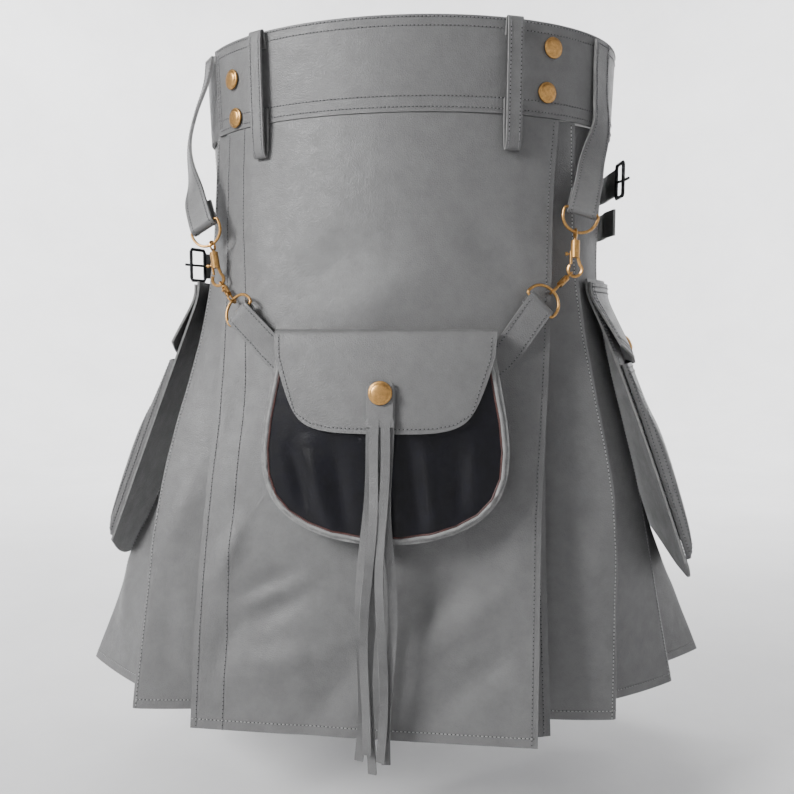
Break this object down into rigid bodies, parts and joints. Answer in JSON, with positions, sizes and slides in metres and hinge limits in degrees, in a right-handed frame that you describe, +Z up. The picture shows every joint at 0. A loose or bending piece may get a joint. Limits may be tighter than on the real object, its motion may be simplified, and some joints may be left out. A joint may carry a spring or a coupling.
{
  "type": "pleated leather kilt",
  "caption": "Grey leather utility kilt with knife pleats, a flat front apron, a wide belt-looped waistband, hip pockets, and a flapped pouch hung from brass snaps.",
  "frame": {"origin": "centre of the waistband at half its height, inside the wearer's waist", "axes": "+Z up the wearer, -Y to the kilt's front, +X to the wearer's left"},
  "size_m": [0.646, 0.4399, 0.6328],
  "materials": {
    "grey_leather": "satin, fine grain",
    "black_leather": "glossy, finely creased",
    "antique_brass": "aged satin",
    "black_metal": "blackened"
  },
  "bodies": {
    "kilt": {"waistband_front": "grey_leather", "waistband_back": "grey_leather", "front_apron": "grey_leather", "under_apron": "grey_leather", "pleat_right_1": "grey_leather", "pleat_right_2": "grey_leather", "pleat_right_3": "grey_leather", "pleat_right_4": "grey_leather", "pleat_right_5": "grey_leather", "pleat_right_6": "grey_leather", "pleat_left_1": "grey_leather", "pleat_left_2": "grey_leather", "pleat_left_3": "grey_leather", "pleat_left_4": "grey_leather", "pleat_left_5": "grey_leather", "pleat_left_6": "grey_leather", "back_panel": "grey_leather", "belt_loop_front_left": "grey_leather", "belt_loop_front_right": "grey_leather", "belt_loop_back_right": "grey_leather", "belt_loop_back_left": "grey_leather", "stud_left_top": "antique_brass", "stud_left_bottom": "antique_brass", "stud_right_top": "antique_brass", "stud_right_bottom": "antique_brass", "hang_strap_right": "grey_leather", "strap_ring_right": "antique_brass", "upper_right_hook": "antique_brass", "lower_right_hook": "antique_brass", "sporran_ring_right": "antique_brass", "hang_strap_left": "grey_leather", "strap_ring_left": "antique_brass", "upper_left_hook": "antique_brass", "lower_left_hook": "antique_brass", "sporran_ring_left": "antique_brass", "sporran_back": "grey_leather", "sporran_front": "black_leather", "sporran_gusset": "grey_leather", "sporran_flap": "grey_leather", "tassel": "grey_leather", "sporran_stud": "antique_brass", "sporran_strap_right": "grey_leather", "sporran_strap_left": "grey_leather", "pocket_right_panel": "grey_leather", "pocket_right_pouch": "grey_leather", "pocket_right_flap": "grey_leather", "pocket_right_stud": "antique_brass", "pocket_left_panel": "grey_leather", "pocket_left_pouch": "grey_leather", "pocket_left_flap": "grey_leather", "pocket_left_stud": "antique_brass", "hip_strap_right_upper": "grey_leather", "hip_buckle_right_upper": "black_metal", "hip_strap_right_lower": "grey_leather", "hip_strap_left": "grey_leather", "hip_buckle_left": "black_metal"},
    "upper_right_slide": {"upper_right_bolt": "antique_brass"},
    "upper_left_slide": {"upper_left_bolt": "antique_brass"},
    "lower_right_slide": {"lower_right_bolt": "antique_brass"},
    "lower_left_slide": {"lower_left_bolt": "antique_brass"}
  },
  "joints": [
    {"name": "upper_right_bolt", "type": "slide", "parent": "kilt", "child": "upper_right_slide", "axis": [0, 0.0599, 0.9982], "range_m": [0, 0.0046], "stiffness_N_per_m": 300, "springref_m": -0.003},
    {"name": "upper_left_bolt", "type": "slide", "parent": "kilt", "child": "upper_left_slide", "axis": [-0.1698, 0.0599, 0.9837], "range_m": [0, 0.0046], "stiffness_N_per_m": 300, "springref_m": -0.003},
    {"name": "lower_right_bolt", "type": "slide", "parent": "kilt", "child": "lower_right_slide", "axis": [0.6203, 0.4802, 0.6203], "range_m": [0, 0.0033], "stiffness_N_per_m": 300, "springref_m": -0.003},
    {"name": "lower_left_bolt", "type": "slide", "parent": "kilt", "child": "lower_left_slide", "axis": [-0.5589, 0.5289, 0.6387], "range_m": [0, 0.0033], "stiffness_N_per_m": 300, "springref_m": -0.003}
  ]
}
